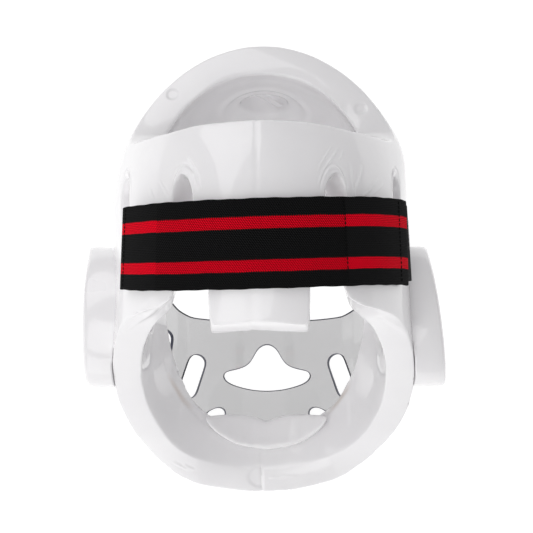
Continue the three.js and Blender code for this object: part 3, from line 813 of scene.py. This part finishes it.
def tape_weave(name, dark, light):
    material, tree, shader, add = node_tree(name)
    place = add("ShaderNodeUVMap", uv_map="weave").outputs["UV"]
    loops = add("ShaderNodeTexVoronoi", {"Vector": place, "Scale": 90.0})
    shade = add("ShaderNodeValToRGB", {"Fac": loops.outputs["Distance"]})
    shade.color_ramp.elements[0].color = (*dark, 1)
    shade.color_ramp.elements[1].color = (*light, 1)
    tree.links.new(shade.outputs["Color"], shader.inputs["Base Color"])
    relief = add("ShaderNodeBump", {
        "Height": loops.outputs["Distance"], "Strength": 0.8, "Distance": 0.4 * MM,
    })
    tree.links.new(relief.outputs["Normal"], shader.inputs["Normal"])
    shader.inputs["Roughness"].default_value = 0.9
    return material


tape_finish = tape_weave("black_tape", (0.004, 0.004, 0.005), (0.02, 0.02, 0.022))
TAPE_PEEPS = 1.8
TAPE_LIFTS = 1.1
TAPE_LEAN = 2.2
rows, half_width = band_section("strap_fixing_left")
left_tape = Band(rows, half_width, left_lean=LEFT_LEAN)
dressed(left_tape.piece("left_strap_tape", band_profile(6)), tape_finish, "strap_fixing_left")
rows, half_width = band_section("hook_tape_right")
rows = np.vstack([rows, rows[-1] + [TAPE_PEEPS, TAPE_LIFTS, TAPE_LIFTS]])
hook_tape = Band(rows, half_width, right_lean=TAPE_LEAN)
dressed(hook_tape.piece("right_hook_tape", band_profile(6)), tape_finish, "hook_tape_right")


def row_of(name, route, pitch, length, width, way, material, seed):
    """A row of small slivers along a route, such as stitches or hooks, made with Geometry Nodes."""
    tree = bpy.data.node_groups.new(name + "_row", "GeometryNodeTree")
    sockets = {}
    for label, kind in (
        ("Geometry", "NodeSocketGeometry"), ("Pitch", "NodeSocketFloat"), ("Length", "NodeSocketFloat"),
        ("Width", "NodeSocketFloat"), ("Way", "NodeSocketVector"),
    ):
        sockets[label] = tree.interface.new_socket(label, in_out="INPUT", socket_type=kind)
    tree.interface.new_socket("Geometry", in_out="OUTPUT", socket_type="NodeSocketGeometry")

    def add(kind, inputs=(), **settings):
        node = tree.nodes.new(kind)
        for key, value in settings.items():
            setattr(node, key, value)
        for key, value in dict(inputs).items():
            if isinstance(value, bpy.types.NodeSocket):
                tree.links.new(value, node.inputs[key])
            else:
                node.inputs[key].default_value = value
        return node

    given = add("NodeGroupInput").outputs
    line = add("GeometryNodeMeshToCurve", {"Mesh": given["Geometry"]})
    spaced = add(
        "GeometryNodeResampleCurve", {"Curve": line.outputs[0], "Length": given["Pitch"]}, mode="LENGTH",
    )
    sliver = add("GeometryNodeMeshUVSphere", {"Segments": 8, "Rings": 6, "Radius": 0.5})
    if way is None:
        aim = add("GeometryNodeInputTangent").outputs[0]
    else:
        aim = given["Way"]
    stray = add("FunctionNodeRandomValue", {0: (-0.12, -0.12, -0.12), 1: (0.12, 0.12, 0.12), "Seed": seed},
                data_type="FLOAT_VECTOR")
    strayed = add("ShaderNodeVectorMath", {0: aim, 1: stray.outputs[0]}, operation="ADD")
    turned = add("FunctionNodeAlignRotationToVector", {"Vector": strayed.outputs[0]}, axis="Z")
    size = add("ShaderNodeCombineXYZ", {"X": given["Width"], "Y": given["Width"], "Z": given["Length"]})
    row = add("GeometryNodeInstanceOnPoints", {
        "Points": spaced.outputs[0], "Instance": sliver.outputs[0], "Rotation": turned.outputs[0],
        "Scale": size.outputs[0],
    })
    real = add("GeometryNodeRealizeInstances", {"Geometry": row.outputs[0]})
    finish = add("GeometryNodeSetMaterial", {"Geometry": real.outputs[0], "Material": material})
    add("NodeGroupOutput", {"Geometry": finish.outputs[0]})

    mesh = bpy.data.meshes.new(name)
    mesh.from_pydata([list(spot) for spot in route], [(k, k + 1) for k in range(len(route) - 1)], [])
    made = bpy.data.objects.new(name, mesh)
    bpy.context.collection.objects.link(made)
    sewing = made.modifiers.new("row", "NODES")
    sewing.node_group = tree
    sewing[sockets["Pitch"].identifier] = pitch * MM
    sewing[sockets["Length"].identifier] = length * MM
    sewing[sockets["Width"].identifier] = width * MM
    if way is not None:
        sewing[sockets["Way"].identifier] = tuple(way)
    finished(made)
    made.data.shade_smooth()
    return made


def plain_fibre(name, colour, roughness):
    material, tree, shader, add = node_tree(name)
    place = add("ShaderNodeTexCoord").outputs["Object"]
    twist = add("ShaderNodeTexNoise", {"Vector": place, "Scale": 1800.0, "Detail": 2.0})
    shade = add("ShaderNodeValToRGB", {"Fac": twist.outputs["Fac"]})
    shade.color_ramp.elements[0].color = (*(value * 0.6 for value in colour), 1)
    shade.color_ramp.elements[1].color = (*colour, 1)
    tree.links.new(shade.outputs["Color"], shader.inputs["Base Color"])
    shader.inputs["Roughness"].default_value = roughness
    shader.inputs["Specular IOR Level"].default_value = 0.1
    return material


# The free edge of the hook tape, where its pale hooks stick out past the strap
HOOK_RANGE = (-0.15, 0.6)
HOOKS_PAST = 0.4
HOOK_PITCH = 1.2
HOOK_LENGTH = 2.0
HOOK_WIDTH = 0.6
tape_end = hook_tape.length
edge_way = hook_tape.place(tape_end, 0) - hook_tape.place(tape_end - 1, 0)
edge_way = edge_way / np.linalg.norm(edge_way)
hook_line = [hook_tape.place(tape_end + HOOKS_PAST, across, 0.9) for across in np.linspace(*HOOK_RANGE, 16)]
hook_nylon = plain_fibre("hook_nylon", (0.72, 0.72, 0.73), 0.5)
hooks = row_of("pale_hooks", hook_line, HOOK_PITCH, HOOK_LENGTH, HOOK_WIDTH, edge_way, hook_nylon, 4)
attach(hooks, "root")

# Rear strap
# A knitted elastic band 53 mm wide with two red stripes, stretched across the back. Its ends are doubled
# over, which pulls their knit flat, and sewn down through the tapes with black thread.
STRIPES = ((10.1, 17.0), (35.2, 42.3))
LEFT_DOUBLED = -32.8
RIGHT_DOUBLED = 26.6
STITCH_TURNS = (-49.8, RIGHT_DOUBLED, 51.3)
STITCH_PITCH = 2.5
STITCH_LENGTH = 2.1
STITCH_WIDTH = 0.9
STITCH_LEAN = 0.8
STITCH_RANGE = (-0.88, 0.9)
LOOP_LENGTH = 1.4
LOOP_WIDTH = 1.0
RIB_PITCH = 1.15
SAW_MIDDLE = 0.3
rows, half_width = band_section("rear_strap")
elastic = Band(rows, half_width, LEFT_LEAN, doubled=((-90, LEFT_DOUBLED), (RIGHT_DOUBLED, 90)))
strap = elastic.piece("rear_elastic_strap", band_profile(24, 0.02))


def knitted_elastic():
    """Slanted loops laid like bricks. On the doubled ends they are pulled into fine lengthwise ribs."""
    material, tree, shader, add = node_tree("knitted_elastic")
    unit = MM * 10
    place = add("ShaderNodeUVMap", uv_map="weave").outputs["UV"]
    parts = add("ShaderNodeSeparateXYZ", {"Vector": place})

    def maths(operation, a, b=0.0, c=0.0):
        return add("ShaderNodeMath", {0: a, 1: b, 2: c}, operation=operation).outputs[0]

    def blend(share, a, b):
        return add("ShaderNodeMix", {0: share, 6: a, 7: b}, data_type="RGBA").outputs[2]

    along = maths("DIVIDE", parts.outputs["X"], unit)
    across = maths("DIVIDE", parts.outputs["Y"], unit)
    before = maths("LESS_THAN", along, elastic.at_turn(LEFT_DOUBLED))
    after = maths("GREATER_THAN", along, elastic.at_turn(RIGHT_DOUBLED))
    doubled = maths("ADD", before, after)

    row = maths("DIVIDE", across, LOOP_WIDTH)
    odd = maths("MULTIPLY", maths("FLOORED_MODULO", maths("FLOOR", row), 2.0), 0.5)
    u = maths("SUBTRACT", maths("FRACT", maths("ADD", maths("DIVIDE", along, LOOP_LENGTH), odd)), 0.5)
    v = maths("SUBTRACT", maths("FRACT", row), 0.5)
    slanted = maths("MULTIPLY_ADD", v, 0.55, u)
    fall_along = maths("MULTIPLY", maths("POWER", slanted, 2.0), 6.5)
    fall_across = maths("MULTIPLY", maths("POWER", v, 2.0), 4.2)
    loops = maths("SUBTRACT", 1.0, maths("ADD", fall_along, fall_across))
    ribs = maths("MULTIPLY_ADD", maths("SINE", maths("MULTIPLY", across, 2 * math.pi / RIB_PITCH)), 0.2, 0.56)
    pulled = maths("MULTIPLY", doubled, 0.65)
    height = add("ShaderNodeMix", {0: pulled, 2: loops, 3: ribs}, data_type="FLOAT").outputs[0]
    top = maths("MINIMUM", maths("MAXIMUM", height, 0.0), 1.0)

    saw = maths("MULTIPLY", maths("PINGPONG", along, 0.7), maths("MULTIPLY_ADD", doubled, -0.7, 1.1))
    level = maths("ADD", across, saw)
    red = None
    for low, high in STRIPES:
        over = maths("GREATER_THAN", level, low + SAW_MIDDLE)
        under = maths("LESS_THAN", level, high + SAW_MIDDLE)
        stripe = maths("MULTIPLY", over, under)
        red = stripe if red is None else maths("ADD", red, stripe)
    fleck = add("ShaderNodeTexNoise", {"Vector": place, "Scale": 120.0, "Detail": 3.0}).outputs["Fac"]
    # Painted light: the tops of the loops and ribs are painted lighter as highlight and the hollows darker as
    # shade, broken by random flecks
    painted_loop_light = maths("MULTIPLY", top, maths("MULTIPLY_ADD", fleck, 1.5, 0.5))
    black = blend(painted_loop_light, (0.0003, 0.0003, 0.0004, 1), (0.015, 0.015, 0.0155, 1))
    scarlet = blend(painted_loop_light, (0.28, 0.0002, 0.003, 1), (1.0, 0.0008, 0.022, 1))
    tree.links.new(blend(red, black, scarlet), shader.inputs["Base Color"])
    relief = add("ShaderNodeBump", {"Height": height, "Strength": 0.6, "Distance": 0.3 * MM})
    tree.links.new(relief.outputs["Normal"], shader.inputs["Normal"])
    shader.inputs["Roughness"].default_value = 0.85
    shader.inputs["Specular IOR Level"].default_value = 0.06
    return material


dressed(strap, knitted_elastic(), "rear_strap")

black_thread = plain_fibre("black_thread", (0.003, 0.003, 0.003), 0.9)
for k, turn in enumerate(STITCH_TURNS):
    along = elastic.at_turn(turn)
    lean = STITCH_LEAN if turn > 0 else 0.0
    route = [
        elastic.place(along + lean * (0.5 - across), across, 1.0, 0.05)
        for across in np.linspace(*STITCH_RANGE, 24)
    ]
    name = f"strap_stitches_{k + 1}"
    stitches = row_of(name, route, STITCH_PITCH, STITCH_LENGTH, STITCH_WIDTH, None, black_thread, k)
    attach(stitches, "root")

# Studio
# The headgear lies on a plain white table under soft light from the left and above, seen from behind and
# a little below the nape.
table = bpy.data.meshes.new("table")
table.from_pydata([(-4, -4, 0), (4, -4, 0), (4, 4, 0), (-4, 4, 0)], [], [(0, 1, 2, 3)])
floor = bpy.data.objects.new("table", table)
bpy.context.collection.objects.link(floor)
floor.location.z = -0.2 * MM
white, _, shader, _ = node_tree("white_table")
shader.inputs["Base Color"].default_value = (0.22, 0.22, 0.22, 1)
shader.inputs["Roughness"].default_value = 0.9
shader.inputs["Specular IOR Level"].default_value = 0.1
shader.inputs["Emission Color"].default_value = (1, 1, 1, 1)
shader.inputs["Emission Strength"].default_value = 0.92
table.materials.append(white)


def lamp(name, place, aim, size, power):
    data = bpy.data.lights.new(name, "AREA")
    data.shape = "SQUARE"
    data.size = size
    data.energy = power
    light = bpy.data.objects.new(name, data)
    bpy.context.collection.objects.link(light)
    light.location = place
    light.rotation_euler = (Vector(aim) - Vector(place)).to_track_quat("-Z", "Y").to_euler()


lamp("key_softbox", (-0.62, 1.0, 1.45), (0, 0, 0.1), 1.2, 6.4)
lamp("left_softbox", (-1.5, 0.0, 0.5), (0, 0, 0.1), 0.9, 1.8)
lamp("low_softbox", (-0.3, -0.6, 1.35), (0, 0, 0.1), 1.0, 4.4)
lamp("neck_softbox", (-0.5, -1.3, 0.5), (0, 0, 0.12), 0.9, 3.4)
world = bpy.data.worlds.new("studio")
bpy.context.scene.world = world
world.use_nodes = True
world.node_tree.nodes["Background"].inputs["Color"].default_value = (0.985, 0.98, 0.99, 1)
world.node_tree.nodes["Background"].inputs["Strength"].default_value = 0.45
bpy.context.scene.view_settings.view_transform = "Standard"

FRAME_WIDTH = 533
FRAME_SHIFT = 3
LENS = 1350 / FRAME_WIDTH * 36
VIEW_RISE = math.radians(15)
VIEW_TURN = math.radians(1.5)
eye = laid_down([22.8, -869.0, -232.9])
right = Vector((math.cos(VIEW_TURN), 0, -math.sin(VIEW_TURN)))
up = Vector((
    math.sin(VIEW_TURN) * math.sin(VIEW_RISE),
    math.cos(VIEW_RISE),
    math.cos(VIEW_TURN) * math.sin(VIEW_RISE),
))
lens = bpy.data.cameras.new("camera")
lens.lens = LENS
lens.shift_x = FRAME_SHIFT / FRAME_WIDTH
camera = bpy.data.objects.new("camera", lens)
bpy.context.collection.objects.link(camera)
camera.matrix_world = Matrix((right, up, right.cross(up))).transposed().to_4x4()
camera.location = eye
bpy.context.scene.camera = camera
